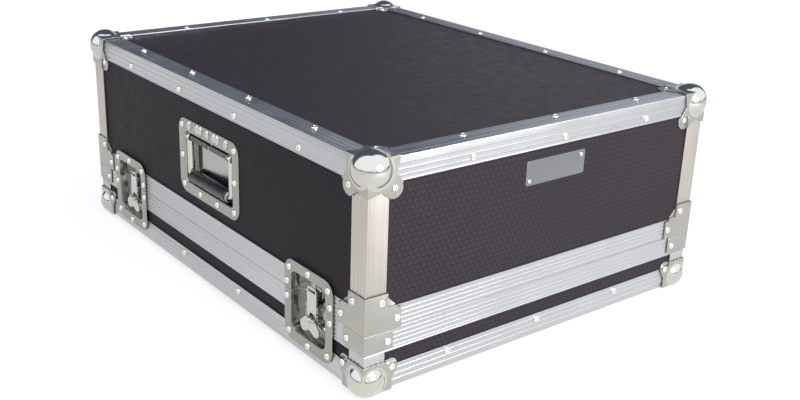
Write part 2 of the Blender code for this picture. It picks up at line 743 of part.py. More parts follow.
def handle_dish():
    """A handle dish with its hinge rod and the row of pressed bumps over the well."""
    half_plate = HANDLE_WIDTH / 2
    half_well = HANDLE_WELL_WIDTH / 2
    plate = (-half_plate, half_plate, HANDLE_LOW, HANDLE_HIGH)
    well = (-half_well, half_well, HANDLE_WELL_LOW, HANDLE_WELL_HIGH)
    shell = dish(plate, HANDLE_RADIUS, well, HANDLE_WELL_RADIUS, HANDLE_WELL_DEPTH, HANDLE_SHEET, STEP_LOW)
    reach = half_well + HANDLE_SHEET / 2
    hinge_height = HANDLE_WELL_HIGH - HINGE_DROP
    shell = union(shell, rod(HINGE_ROD_RADIUS, -reach, reach, "X", (0, HINGE_DEPTH, hinge_height)))
    for place in BUMP_PLACES:
        bm = bmesh.new()
        bmesh.ops.create_uvsphere(bm, u_segments=BUMP_SEGMENTS, v_segments=BUMP_RINGS, radius=1)
        bmesh.ops.scale(bm, vec=(BUMP_WIDTH / 2, BUMP_PROUD, BUMP_HEIGHT / 2), verts=bm.verts)
        sunk = FITTING_SHEET / 4 - STEP_HIGH
        bmesh.ops.translate(bm, vec=(place, sunk, HANDLE_WELL_HIGH + BUMP_RISE), verts=bm.verts)
        bump = trim(solid_from(bm), box((-reach, -reach, 0), (reach, sunk + FITTING_SHEET / 4, CASE_HEIGHT)))
        shell = union(shell, bump)
    return shell


def bail_path():
    """The bail's centre line, from one hinge eye down round the grip to the other, hinge axis at the origin."""
    side = HANDLE_WELL_WIDTH / 2 - BAIL_SIDE_GAP - BAIL_ROD_RADIUS
    drop = HANDLE_WELL_HIGH - HINGE_DROP - HANDLE_WELL_LOW - GRIP_FLOOR_GAP - GRIP_RADIUS
    bend = BAIL_BEND_RADIUS
    right = [(side, 0)] + arc((side - bend, bend - drop), bend, 0, -90)
    return right + [(-x, z) for x, z in right[::-1]], side, drop


def handle_bail():
    """The steel bail, with an eye on the hinge rod at each end."""
    path, side, _ = bail_path()
    curve = bpy.data.curves.new("bail", "CURVE")
    curve.dimensions = "3D"
    curve.bevel_depth = BAIL_ROD_RADIUS
    curve.bevel_resolution = 1
    curve.use_fill_caps = True
    spline = curve.splines.new("POLY")
    spline.points.add(len(path) - 1)
    for point, (x, z) in zip(spline.points, path):
        point.co = (x, 0, z, 1)
    drawn = bpy.data.objects.new("bail", curve)
    CUTTERS.objects.link(drawn)
    mesh = evaluated_mesh(drawn)
    bpy.data.objects.remove(drawn)
    bm = bmesh.new()
    bm.from_mesh(mesh)
    bmesh.ops.remove_doubles(bm, verts=bm.verts, dist=WELD_DISTANCE)
    bail = solid_from(bm)
    eye = BAIL_ROD_RADIUS + GAP
    for place in (-side, side):
        bail = union(bail, rod(EYE_RADIUS, place - eye, place + eye, "X"))
    reach = HANDLE_WIDTH / 2
    return cut(bail, rod(HINGE_ROD_RADIUS + RUNNING_GAP, -reach, reach, "X"))


def handle_grip():
    """The rubber grip, a thick sleeve on the bail's lower run, with eased ends."""
    _, _, drop = bail_path()
    half = GRIP_LENGTH / 2
    ease = GRIP_RADIUS / 4
    centre = (0, 0, -drop)
    grip = rod(GRIP_RADIUS, ease - half, half - ease, "X", centre, GRIP_SEGMENTS)
    for side in (-1, 1):
        bm = bmesh.new()
        bmesh.ops.create_cone(
            bm, cap_ends=True, segments=GRIP_SEGMENTS, radius1=GRIP_RADIUS, radius2=GRIP_RADIUS - ease, depth=ease
        )
        bmesh.ops.translate(bm, vec=(0, 0, half - ease / 2), verts=bm.verts)
        bmesh.ops.rotate(bm, matrix=Matrix.Rotation(side * math.pi / 2, 3, "Y"), verts=bm.verts)
        bmesh.ops.translate(bm, vec=centre, verts=bm.verts)
        grip = union(grip, solid_from(bm))
    return cut(grip, rod(BAIL_ROD_RADIUS + GAP, -half - ease, half + ease, "X", centre))


def opening_cutter(name, x, low, high, half_width, depth, back):
    """A live cutter for a dish's hole in the boards and profiles, on the front or the back."""
    direction = 1 if back else -1
    faces = sorted((direction * (HALF_DEPTH + BOARD), direction * (HALF_DEPTH - depth)))
    cutter = box((x - half_width, faces[0], low), (x + half_width, faces[1], high))
    cutter.name = name
    cutter.parent = ROOT
    return cutter


def catch_places():
    """Each catch's x, whether it is on the back, and its name."""
    for name in CATCH_NAMES:
        side = 1 if name.endswith("right") else -1
        yield side * (HALF_LENGTH - CATCH_INSET), name.startswith("back"), name


def make_cutters():
    catch_margin = DISH_SHEET + GAP
    handle_margin = HANDLE_SHEET + GAP
    catches = {}
    for x, back, name in catch_places():
        catches[name] = opening_cutter(
            "catch_opening_" + name,
            x,
            CATCH_WELL_LOW - catch_margin,
            CATCH_WELL_HIGH + catch_margin,
            CATCH_WELL_WIDTH / 2 + catch_margin,
            CATCH_WELL_DEPTH + catch_margin,
            back,
        )
    handles = {}
    for back, name in ((False, "front"), (True, "back")):
        handles[name] = opening_cutter(
            "handle_opening_" + name,
            0,
            HANDLE_WELL_LOW - handle_margin,
            HANDLE_WELL_HIGH + handle_margin,
            HANDLE_WELL_WIDTH / 2 + handle_margin,
            HANDLE_WELL_DEPTH + handle_margin,
            back,
        )
    return catches, handles


def lid_boards(catches, handles):
    outer_x = HALF_LENGTH - BOARD_INSET
    outer_y = HALF_DEPTH - BOARD_INSET
    top = CASE_HEIGHT - BOARD_INSET
    under = top - BOARD
    low = SPLIT_HEIGHT + RIM_SEAT + GAP
    high = under - GAP
    piece("lid_top_board", box((-outer_x, -outer_y, under), (outer_x, outer_y, top)), "board")
    for name, side in (("front", -1), ("back", 1)):
        faces = sorted((side * outer_y, side * (outer_y - BOARD)))
        board = piece(f"lid_{name}_board", box((-outer_x, faces[0], low), (outer_x, faces[1], high)), "board")
        cut_later(board, handles[name], catches[name + "_left"], catches[name + "_right"])
    end_y = outer_y - BOARD - GAP
    for name, side in (("left", -1), ("right", 1)):
        faces = sorted((side * outer_x, side * (outer_x - BOARD)))
        piece(f"lid_{name}_board", box((faces[0], -end_y, low), (faces[1], end_y, high)), "board")


def lid_angles():
    """The four top edge angles, mitred, and the four corner posts between them and the closing profile."""
    corners = ring_corners()
    for index, name in enumerate(("front", "right", "back", "left")):
        ends = []
        for x, y, in_x, in_y in (corners[index], corners[(index + 1) % 4]):
            if index % 2 == 0:
                ends.append((x + in_x * GAP, y, in_x, in_y))
            else:
                ends.append((x, y + in_y * GAP, in_x, in_y))
        piece("lid_edge_" + name, sweep(edge_section(False), ends, False), "aluminium")
    low = SPLIT_HEIGHT + RIM_HEIGHT + GAP
    high = CASE_HEIGHT - ANGLE_LEG - GAP
    for turns, (name, place) in enumerate(zip(CORNER_NAMES, corner_places(0))):
        on_x = turns % 2 == 0
        post = slab(angle_section(on_x, not on_x), low, high)
        piece("lid_post_" + name, post, "aluminium", place, turns)


def base_boards(catches):
    outer_x = HALF_LENGTH - BOARD_INSET
    outer_y = HALF_DEPTH - BOARD_INSET
    inner_x = outer_x - BOARD
    inner_y = outer_y - BOARD
    top = SPLIT_HEIGHT - RIM_SEAT - GAP
    tray = box((-outer_x, -outer_y, BOARD_INSET), (outer_x, outer_y, top))
    cut(tray, box((-inner_x, -inner_y, BOARD_BACK), (inner_x, inner_y, CASE_HEIGHT)))
    cut_later(piece("base_tray", tray, "board"), *catches.values())


def base_angles(catches):
    """The mitred bottom edge angles, with a short ribbed post standing on each corner."""
    frame = sweep(edge_section(True), ring_corners(), True)
    high = SPLIT_HEIGHT - RIM_HEIGHT - GAP
    for turns, place in enumerate(corner_places(0)):
        stub = slab(angle_section(), ANGLE_LEG + GAP, high)
        inner = ANGLE_WALL * 3 / 4
        outer = ANGLE_WALL / 4
        reach = ANGLE_LEG - ANGLE_WALL
        key = [(outer, outer), (reach, outer), (reach, inner), (inner, inner), (inner, reach), (outer, reach)]
        dowel = slab(key, ANGLE_LEG - STUB_DOWEL, ANGLE_LEG + STUB_DOWEL)
        for added in (stub, dowel):
            added.data.transform(Matrix.Translation(place) @ Matrix.Rotation(turns * math.pi / 2, 4, "Z"))
        fuse(frame, dowel, stub)
    cut_later(piece("base_edge_frame", frame, "aluminium"), *catches.values())


def foam_cradle():
    """A foam block with a rounded recess for the mixer."""
    outer_x = HALF_LENGTH - RIM_BACK - GAP
    outer_y = HALF_DEPTH - RIM_BACK - GAP
    low = BOARD_BACK + GAP
    inner_x = outer_x - FOAM_BORDER
    inner_y = outer_y - FOAM_BORDER
    block = slab(rounded(-outer_x, outer_x, -outer_y, outer_y, FOAM_RADIUS, SMALL_STEPS), low, FOAM_HEIGHT)
    recess = slab(rounded(-inner_x, inner_x, -inner_y, inner_y, RECESS_RADIUS), low + FOAM_FLOOR, CASE_HEIGHT)
    piece("base_foam", cut(block, recess), "foam")


def repeated(names, source, material, places):
    for turns, (name, place) in enumerate(zip(names, places)):
        piece(name, source, material, place, turns)
    bpy.data.objects.remove(source)


def corner_fittings():
    outline = top_corner_outline()
    names = [f"lid_ball_corner_{name}" for name in CORNER_NAMES]
    repeated(names, ball_corner(outline, outline, -1), "zinc", corner_places(CASE_HEIGHT))
    names = [f"base_ball_corner_{name}" for name in CORNER_NAMES]
    flat = rounded(-SEAT_HIGH, FOOT_REACH, -SEAT_HIGH, FOOT_REACH, FOOT_WAIST / 2)
    repeated(names, ball_corner(foot_corner_outline(), flat, 1), "zinc", corner_places(0))
    names = [f"lid_brace_{name}" for name in CORNER_NAMES]
    repeated(names, lid_brace(), "zinc", corner_places(0))
    names = [f"base_brace_{name}" for name in CORNER_NAMES]
    repeated(names, base_brace(), "zinc", corner_places(0))


def catches_and_keys():
    keeper = catch_keeper()
    latch = catch_latch()
    key = catch_key()
    wing = catch_wing()
    hook = catch_hook()
    for x, back, name in catch_places():
        turns = 2 if back else 0
        face = HALF_DEPTH if back else -HALF_DEPTH
        inwards = -1 if back else 1
        piece("catch_keeper_" + name, keeper, "zinc", (x, face, 0), turns)
        piece("catch_latch_" + name, latch, "zinc", (x, face, 0), turns)
        stud = piece("catch_key_" + name, key, "chrome", (x, face, STUD_HEIGHT), turns)
        piece("catch_wing_" + name, wing, "chrome", (0, PIN_DEPTH, 0), 0, stud)
        middle = HOOK_DEPTH + HOOK_SHEET / 2
        piece("catch_hook_" + name, hook, "chrome", (x, face + inwards * middle, EAR_HEIGHT), turns)
    for source in (keeper, latch, key, wing, hook):
        bpy.data.objects.remove(source)


def handles_and_grips():
    dish_source = handle_dish()
    bail_source = handle_bail()
    grip_source = handle_grip()
    for name, face, turns in (("front", -HALF_DEPTH, 0), ("back", HALF_DEPTH, 2)):
        inwards = 1 if turns == 0 else -1
        piece("handle_dish_" + name, dish_source, "zinc", (0, face, 0), turns)
        axis = (0, face + inwards * HINGE_DEPTH, HANDLE_WELL_HIGH - HINGE_DROP)
        bail = piece("handle_bail_" + name, bail_source, "chrome", axis, turns)
        piece("handle_grip_" + name, grip_source, "rubber", (0, 0, 0), 0, bail)
    for source in (dish_source, bail_source, grip_source):
        bpy.data.objects.remove(source)


catch_openings, handle_openings = make_cutters()
lid_boards(catch_openings, handle_openings)
lid_angles()
lid_rim = piece("lid_closing_rim", sweep(lid_rim_section(), ring_corners(), True), "aluminium")
cut_later(lid_rim, *catch_openings.values())
base_rim = piece("base_closing_rim", sweep(base_rim_section(), ring_corners(), True), "aluminium")
cut_later(base_rim, *catch_openings.values())
base_boards(catch_openings)
base_angles(catch_openings)
foam_cradle()
corner_fittings()
catches_and_keys()
handles_and_grips()
for leftover in [obj for obj in CUTTERS.objects if obj.name.startswith("working")]:
    bpy.data.objects.remove(leftover)
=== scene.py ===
import math

import bmesh
import bpy
from mathutils import Matrix, Vector


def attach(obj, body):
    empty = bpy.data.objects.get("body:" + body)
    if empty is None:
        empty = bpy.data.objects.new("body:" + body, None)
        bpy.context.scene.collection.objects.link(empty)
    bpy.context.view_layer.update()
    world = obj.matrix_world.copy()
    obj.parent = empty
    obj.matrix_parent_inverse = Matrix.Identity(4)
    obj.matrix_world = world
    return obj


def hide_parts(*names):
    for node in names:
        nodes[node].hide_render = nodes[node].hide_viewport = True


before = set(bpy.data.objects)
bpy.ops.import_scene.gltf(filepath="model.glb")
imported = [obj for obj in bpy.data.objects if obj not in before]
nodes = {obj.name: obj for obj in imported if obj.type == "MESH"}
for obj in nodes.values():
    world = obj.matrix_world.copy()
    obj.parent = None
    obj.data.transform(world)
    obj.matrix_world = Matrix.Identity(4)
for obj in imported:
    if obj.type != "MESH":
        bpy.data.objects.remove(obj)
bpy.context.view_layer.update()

scene = bpy.context.scene

# The view. The camera stands off the corner between the front and the plate end, a little above the lid. Its
# place, tilt and lens come from solving the photograph for the case's seven visible corners.
camera = bpy.data.objects.new("camera", bpy.data.cameras.new("camera"))
camera.data.sensor_width = 36
camera.data.lens = 48.06
camera.location = (1.2131, -0.9195, 0.6536)
camera.rotation_euler = [math.radians(angle) for angle in (69.271, -1.951, 52.195)]
scene.collection.objects.link(camera)
scene.camera = camera
scene.view_settings.view_transform = "Standard"


# The studio. A pale floor that shows white and keeps the shadow, a wide soft window on the camera's side of the
# sky with a darker room behind the case, and one large lamp beside the plate end.
FLOOR_SIZE = 160
FLOOR_COLOUR = (0.36, 0.36, 0.36, 1)
FLOOR_LIFT = 0.66
WINDOW_SIDE = (0.891, -0.454, 0)
WINDOW_LIGHT = (1.62, 1.70, 1.80, 1)
DOORWAY_SIDE = (-0.616, 0.788, 0)
DOORWAY_LIGHT = (0.84, 0.88, 1.00, 1)
ROOM_LIGHT = (0.13, 0.155, 0.21, 1)
SILL_WAVE = 0.20
LAMP_PLACE = (1.90, 0.10, 0.80)
LAMP_TARGET = (0.35, 0.0, 0.12)
LAMP_SIZE = 0.9
LAMP_POWER = 44
LAMP_COLOUR = (0.95, 0.965, 1.0)


def add(tree, kind, inputs=None, **settings):
    """A shader node: inputs gives values, or sockets to link from, by the name or number of its own socket."""
    made = tree.nodes.new(kind)
    for name, value in settings.items():
        setattr(made, name, value)
    for name, value in (inputs or {}).items():
        if isinstance(value, bpy.types.NodeSocket):
            tree.links.new(value, made.inputs[name])
        else:
            made.inputs[name].default_value = value
    return made


def arithmetic(tree, operation, *values):
    return add(tree, "ShaderNodeMath", dict(enumerate(values)), operation=operation).outputs[0]


def spread(tree, operation, *values):
    """Vector arithmetic. A length or a dot product comes out as a number."""
    made = add(tree, "ShaderNodeVectorMath", dict(enumerate(values)), operation=operation)
    return made.outputs["Value" if operation in ("LENGTH", "DOT_PRODUCT") else "Vector"]


def blend_colours(tree, share, first, second):
    return add(tree, "ShaderNodeMix", {0: share, 6: first, 7: second}, data_type="RGBA").outputs[2]


def eased(tree, value, low, high):
    """0 below low and 1 above high, with a soft step between."""
    inputs = {"Value": value, "From Min": low, "From Max": high}
    return add(tree, "ShaderNodeMapRange", inputs, interpolation_type="SMOOTHSTEP").outputs[0]


def seen_directly(tree):
    """1 for the rays that see a backdrop, straight or in metal, and 0 for those that light the object."""
    path = add(tree, "ShaderNodeLightPath").outputs
    either = arithmetic(tree, "MAXIMUM", path["Is Camera Ray"], path["Is Glossy Ray"])
    return arithmetic(tree, "MAXIMUM", either, path["Is Transmission Ray"])


floor_mesh = bpy.data.meshes.new("floor")
half = FLOOR_SIZE / 2
floor_mesh.from_pydata([(-half, -half, 0), (half, -half, 0), (half, half, 0), (-half, half, 0)], [], [(0, 1, 2, 3)])
floor = bpy.data.objects.new("floor", floor_mesh)
scene.collection.objects.link(floor)
floor_paint = bpy.data.materials.new("pale floor")
floor_paint.use_nodes = True
tree = floor_paint.node_tree
tree.nodes.clear()
matt = add(tree, "ShaderNodeBsdfDiffuse", {"Color": FLOOR_COLOUR})
lift = arithmetic(tree, "MULTIPLY", seen_directly(tree), FLOOR_LIFT)
glow = add(tree, "ShaderNodeEmission", {"Color": (1, 1, 1, 1), "Strength": lift})
both = add(tree, "ShaderNodeAddShader", {0: matt.outputs[0], 1: glow.outputs[0]})
add(tree, "ShaderNodeOutputMaterial", {"Surface": both.outputs[0]})
floor_mesh.materials.append(floor_paint)

world = bpy.data.worlds.new("studio")
world.use_nodes = True
scene.world = world
tree = world.node_tree
tree.nodes.clear()
direction = add(tree, "ShaderNodeTexCoord").outputs["Generated"]
height = add(tree, "ShaderNodeSeparateXYZ", {0: direction}).outputs["Z"]
compass = spread(tree, "NORMALIZE", spread(tree, "MULTIPLY", direction, (1, 1, 0)))
blotches = add(tree, "ShaderNodeTexNoise", {"Vector": direction, "Scale": 3.5, "Detail": 3}).outputs["Fac"]
above_sill = arithmetic(tree, "SUBTRACT", height, arithmetic(tree, "MULTIPLY", blotches, SILL_WAVE))
towards_window = eased(tree, spread(tree, "DOT_PRODUCT", compass, WINDOW_SIDE), -0.60, -0.35)
window = arithmetic(tree, "MULTIPLY", towards_window, eased(tree, above_sill, -0.10, 0.02))
towards_doorway = eased(tree, spread(tree, "DOT_PRODUCT", compass, DOORWAY_SIDE), 0.95, 0.995)
doorway = arithmetic(tree, "MULTIPLY", towards_doorway, eased(tree, height, 0.6, 0.3))
room = blend_colours(tree, doorway, ROOM_LIGHT, DOORWAY_LIGHT)
sky = blend_colours(tree, window, room, WINDOW_LIGHT)
background = add(tree, "ShaderNodeBackground", {"Color": sky, "Strength": 1.0})
add(tree, "ShaderNodeOutputWorld", {"Surface": background.outputs[0]})

lamp = bpy.data.lights.new("side_lamp", "AREA")
lamp.color = LAMP_COLOUR
lamp.shape = "DISK"
lamp.size = LAMP_SIZE
lamp.energy = LAMP_POWER
lamp_stand = bpy.data.objects.new("side_lamp", lamp)
lamp_stand.location = LAMP_PLACE
lamp_stand.rotation_euler = (Vector(LAMP_TARGET) - Vector(LAMP_PLACE)).to_track_quat("-Z", "Y").to_euler()
scene.collection.objects.link(lamp_stand)


# The boards. 9 mm birch plywood faced with a hard phenolic film, near black, into which a fine honeycomb of
# raised lines is pressed. They slide into the channels of the closing profile and under the edge angles.
BOARD_FILM = (0.0260, 0.0216, 0.0238)
FIELD_FILM = (0.0320, 0.0268, 0.0295, 1)
LINE_FILM = (0.0190, 0.0158, 0.0174, 1)
DUSTY_FILM = (0.024, 0.0215, 0.0235, 1)
HEXAGON = 0.008
HEXAGON_RIDGE = 0.00012
HALF_CELL = (0.5, 0.8660254, 0)
WHOLE_CELL = (1, 1.7320508, 1)
CELLS_TO_ORIGIN = (400, 692.8, 0)


def shader_group(name, inputs, outputs):
    """A node group with its own sockets. Returns it with its input and output nodes."""
    group = bpy.data.node_groups.new(name, "ShaderNodeTree")
    for label, kind, value in inputs:
        socket = group.interface.new_socket(label, in_out="INPUT", socket_type=kind)
        if value is not None:
            socket.default_value = value
    for label, kind in outputs:
        group.interface.new_socket(label, in_out="OUTPUT", socket_type=kind)
    return group, group.nodes.new("NodeGroupInput"), group.nodes.new("NodeGroupOutput")


honeycomb, given, result = shader_group(
    "honeycomb", [("Pitch", "NodeSocketFloat", HEXAGON)], [("Line", "NodeSocketFloat"), ("Cell", "NodeSocketFloat")]
)
coordinates = add(honeycomb, "ShaderNodeTexCoord")
place = add(honeycomb, "ShaderNodeSeparateXYZ", {0: coordinates.outputs["Object"]})
facing = add(honeycomb, "ShaderNodeSeparateXYZ", {0: coordinates.outputs["Normal"]})
on_end = arithmetic(honeycomb, "GREATER_THAN", arithmetic(honeycomb, "ABSOLUTE", facing.outputs["X"]), 0.5)
on_top = arithmetic(honeycomb, "GREATER_THAN", arithmetic(honeycomb, "ABSOLUTE", facing.outputs["Z"]), 0.5)
across = add(honeycomb, "ShaderNodeMix", {0: on_end, 2: place.outputs["X"], 3: place.outputs["Y"]})
upward = add(honeycomb, "ShaderNodeMix", {0: on_top, 2: place.outputs["Z"], 3: place.outputs["Y"]})
flat = add(honeycomb, "ShaderNodeCombineXYZ", {0: across.outputs[0], 1: upward.outputs[0]})
pitch = add(honeycomb, "ShaderNodeCombineXYZ", {i: given.outputs["Pitch"] for i in range(3)})
counted = spread(honeycomb, "ADD", spread(honeycomb, "DIVIDE", flat.outputs[0], pitch.outputs[0]), CELLS_TO_ORIGIN)
offsets = []
for shift in ((0, 0, 0), HALF_CELL):
    moved = spread(honeycomb, "SUBTRACT", counted, shift)
    wrapped = spread(honeycomb, "MODULO", moved, WHOLE_CELL)
    offsets.append(spread(honeycomb, "SUBTRACT", wrapped, HALF_CELL))
distances = [spread(honeycomb, "LENGTH", offset) for offset in offsets]
nearer = arithmetic(honeycomb, "LESS_THAN", *distances)
picked = add(honeycomb, "ShaderNodeMix", {0: nearer, 4: offsets[1], 5: offsets[0]}, data_type="VECTOR")
folded = spread(honeycomb, "ABSOLUTE", picked.outputs[1])
slant = spread(honeycomb, "DOT_PRODUCT", folded, HALF_CELL)
straight = add(honeycomb, "ShaderNodeSeparateXYZ", {0: folded}).outputs["X"]
reach = arithmetic(honeycomb, "MAXIMUM", slant, straight)
honeycomb.links.new(eased(honeycomb, reach, 0.37, 0.46), result.inputs["Line"])
honeycomb.links.new(reach, result.inputs["Cell"])


def new_material(name, colour, roughness, metallic):
    """A material with its plain values set on the shader itself. Returns it with its tree and shader."""
    material = bpy.data.materials.new(name)
    material.use_nodes = True
    tree = material.node_tree
    shader = tree.nodes["Principled BSDF"]
    shader.inputs["Base Color"].default_value = (*colour, 1)
    shader.inputs["Roughness"].default_value = roughness
    shader.inputs["Metallic"].default_value = metallic
    return material, tree, shader


def noise(tree, scale, detail, stretch=(1, 1, 1)):
    """Noise fixed to the piece, in cells per metre along each stretched axis."""
    coordinates = add(tree, "ShaderNodeTexCoord")
    scaled = spread(tree, "MULTIPLY", coordinates.outputs["Object"], stretch)
    return add(tree, "ShaderNodeTexNoise", {"Vector": scaled, "Scale": scale, "Detail": detail}).outputs["Fac"]


def ranged(tree, value, low, high, from_low=0.3, from_high=0.7):
    """Spreads a value over another range."""
    inputs = {"Value": value, "From Min": from_low, "From Max": from_high, "To Min": low, "To Max": high}
    return add(tree, "ShaderNodeMapRange", inputs).outputs[0]


def bumped(tree, shader, height, distance):
    bump = add(tree, "ShaderNodeBump", {"Height": height, "Distance": distance, "Strength": 1.0})
    tree.links.new(bump.outputs[0], shader.inputs["Normal"])


def wear(node, material):
    """Gives a CAD node its finish."""
    mesh = nodes[node].data
    mesh.materials.clear()
    mesh.materials.append(material)


board_film, tree, shader = new_material("phenolic film", BOARD_FILM, 0.42, 0)
shader.inputs["Specular IOR Level"].default_value = 0.025
cells = add(tree, "ShaderNodeGroup", {"Pitch": HEXAGON}, node_tree=honeycomb)
scuffs = noise(tree, 55, 5)
dust = noise(tree, 9, 3)
line_tint = blend_colours(tree, cells.outputs["Line"], FIELD_FILM, LINE_FILM)
tint = blend_colours(tree, ranged(tree, dust, 0, 0.4), line_tint, DUSTY_FILM)
tree.links.new(tint, shader.inputs["Base Color"])
smoother_lines = arithmetic(tree, "MULTIPLY", cells.outputs["Line"], -0.06)
rough = arithmetic(tree, "ADD", ranged(tree, scuffs, 0.36, 0.48), smoother_lines)
tree.links.new(rough, shader.inputs["Roughness"])
grain = arithmetic(tree, "MULTIPLY", noise(tree, 2600, 2), 0.16)
relief = arithmetic(tree, "SUBTRACT", grain, cells.outputs["Line"])
bumped(tree, shader, relief, HEXAGON_RIDGE)
for node in nodes:
    if node.endswith("_board") or node == "base_tray":
        wear(node, board_film)


# The aluminium. Drawn extrusions with fine lines along their length and raised beads: an angle over every edge,
# a post up each lid corner, and the tongue and groove closing profile round the joint. Satin anodised.
CASE_LENGTH = 0.720
CASE_DEPTH = 0.567
ALUMINIUM = (0.47, 0.465, 0.465)
# A warm tint laid on the posts only: a painted reflection of warm surroundings, not a colour of the metal.
POST_PAINTED_REFLECTION = (0.99, 0.925, 0.83)
DRAWN_EDGE = 0.0005


def soften(obj, width):
    """Eases a piece's hard edges, as drawing, pressing and tumbling leave them."""
    weld = obj.modifiers.new("weld", "WELD")
    weld.merge_threshold = 0.00001
    planar = obj.modifiers.new("planar", "DECIMATE")
    planar.decimate_type = "DISSOLVE"
    planar.angle_limit = math.radians(1)
    bevel = obj.modifiers.new("bevel", "BEVEL")
    bevel.width = width
    bevel.segments = 2
    bevel.limit_method = "ANGLE"
    bevel.angle_limit = math.radians(30)
    bevel.harden_normals = True
    obj.data.shade_smooth()


drawn_lines, given, result = shader_group(
    "drawn lines",
    [("Across", "NodeSocketFloat", 0.0)],
    [("Line", "NodeSocketFloat"), ("Broad", "NodeSocketFloat")],
)
for label, scale, detail in (("Line", 5200, 2), ("Broad", 420, 2)):
    stripes = add(
        drawn_lines,
        "ShaderNodeTexNoise",
        {"W": given.outputs["Across"], "Scale": scale, "Detail": detail},
        noise_dimensions="1D",
    )
    drawn_lines.links.new(stripes.outputs["Fac"], result.inputs[label])


def drawn_aluminium(name, upright):
    """The same extruded finish, with its lines up the posts, or round the case along every level profile. The posts
    also get a painted warm reflection.
    """
    # On the posts the colour is tinted warm: painted reflection.
    colour = tuple(level * tint for level, tint in zip(ALUMINIUM, POST_PAINTED_REFLECTION if upright else (1, 1, 1)))
    material, tree, shader = new_material(name, colour, 0.34, 1)
    place = add(tree, "ShaderNodeSeparateXYZ", {0: add(tree, "ShaderNodeTexCoord").outputs["Object"]})
    x, y, z = (place.outputs[axis] for axis in "XYZ")
    if upright:
        across = arithmetic(tree, "ADD", x, y)
    else:
        from_end = arithmetic(tree, "SUBTRACT", CASE_LENGTH / 2, arithmetic(tree, "ABSOLUTE", x))
        from_side = arithmetic(tree, "SUBTRACT", CASE_DEPTH / 2, arithmetic(tree, "ABSOLUTE", y))
        across = arithmetic(tree, "ADD", z, arithmetic(tree, "MINIMUM", from_end, from_side))
    lines = add(tree, "ShaderNodeGroup", {"Across": across}, node_tree=drawn_lines)
    handling = noise(tree, 22, 4)
    dulled = tuple(level * 0.93 for level in colour)
    bright = tuple(level * 1.05 for level in colour)
    tint = blend_colours(tree, ranged(tree, lines.outputs["Broad"], 0, 1), (*dulled, 1), (*bright, 1))
    tree.links.new(tint, shader.inputs["Base Color"])
    streaks = ranged(tree, lines.outputs["Line"], -0.05, 0.05)
    tree.links.new(
        arithmetic(tree, "ADD", ranged(tree, handling, 0.28, 0.40), streaks), shader.inputs["Roughness"]
    )
    bumped(tree, shader, lines.outputs["Line"], 0.00002)
    return material


level_profile = drawn_aluminium("drawn aluminium, level", False)
post_profile = drawn_aluminium("drawn aluminium, upright", True)
for node in nodes:
    if node.startswith(("lid_edge", "lid_closing", "base_closing", "base_edge")):
        wear(node, level_profile)
        soften(nodes[node], DRAWN_EDGE)
    if node.startswith("lid_post"):
        wear(node, post_profile)
        soften(nodes[node], DRAWN_EDGE)


# The pressed steel. Corners, braces and dishes are stamped from thin sheet and bright zinc plated, which leaves
# a slight bloom and a faint warm and blue cast. Hooks, keys, wings and bails are the same, polished.
ZINC = (0.37, 0.37, 0.355)
ZINC_WARM = (0.375, 0.355, 0.305)
ZINC_COOL = (0.335, 0.37, 0.385)
# The paler olive tone painted inside the dish wells: a painted reflection, not a different plating.
WELL_PAINTED_REFLECTION = (0.37, 0.375, 0.35, 1)


def plated(name, low, high, share=1.0):
    """Zinc plate between two roughnesses, at a share of its full brightness. Returns it with its tree and shader,
    and the outputs that give its colour and roughness."""
    shades = [tuple(level * share for level in colour) + (1,) for colour in (ZINC, ZINC_WARM, ZINC_COOL)]
    material, tree, shader = new_material(name, shades[0][:3], (low + high) / 2, 1)
    bloom = noise(tree, 260, 4)
    warm = blend_colours(tree, ranged(tree, noise(tree, 34, 3), 0, 1, 0.35, 0.6), shades[0], shades[1])
    tint = blend_colours(tree, ranged(tree, bloom, 0, 0.5, 0.5, 0.75), warm, shades[2])
    tree.links.new(tint, shader.inputs["Base Color"])
    rough = ranged(tree, bloom, low, high)
    tree.links.new(rough, shader.inputs["Roughness"])
    bumped(tree, shader, noise(tree, 700, 2), 0.00003)
    return material, tree, shader, tint, rough


zinc_plate = plated("satin zinc plate", 0.27, 0.37)[0]
ball_plate = plated("bright zinc ball", 0.05, 0.10, 1.35)[0]
polished_plate = plated("polished plate", 0.05, 0.12, 1.45)[0]
rivet_steel = plated("rivet steel", 0.09, 0.17, 1.95)[0]
# The springs are the same zinc at a third of its brightness: the darkness is a painted reflection of the dark room
# behind the case.
spring_painted_dark = plated("spring steel, painted dark reflection", 0.07, 0.13, 0.32)[0]
dish_plate, tree, shader, tint, rough = plated("zinc dish", 0.25, 0.34, 0.86)
# Inside the wells the plate turns paler, olive and smoother; the paler olive tone is a painted reflection.
depth = add(tree, "ShaderNodeSeparateXYZ", {0: add(tree, "ShaderNodeTexCoord").outputs["Object"]}).outputs["Y"]
edge = CASE_DEPTH / 2
within = ranged(tree, arithmetic(tree, "ABSOLUTE", depth), 1, 0, edge - 0.0040, edge - 0.0010)
well_reflection_tint = blend_colours(tree, within, tint, WELL_PAINTED_REFLECTION)
tree.links.new(well_reflection_tint, shader.inputs["Base Color"])
smoothed = add(tree, "ShaderNodeMix", {0: within, 2: rough, 3: 0.16}).outputs[0]
tree.links.new(smoothed, shader.inputs["Roughness"])
for node in nodes:
    if "brace" in node:
        wear(node, zinc_plate)
        soften(nodes[node], 0.00045)
    if node.startswith(("catch_keeper", "catch_latch", "handle_dish")):
        wear(node, dish_plate)
        soften(nodes[node], 0.00055)
    if node.startswith(("catch_hook", "catch_key", "catch_wing", "handle_bail")):
        wear(node, polished_plate)
        soften(nodes[node], 0.0003)


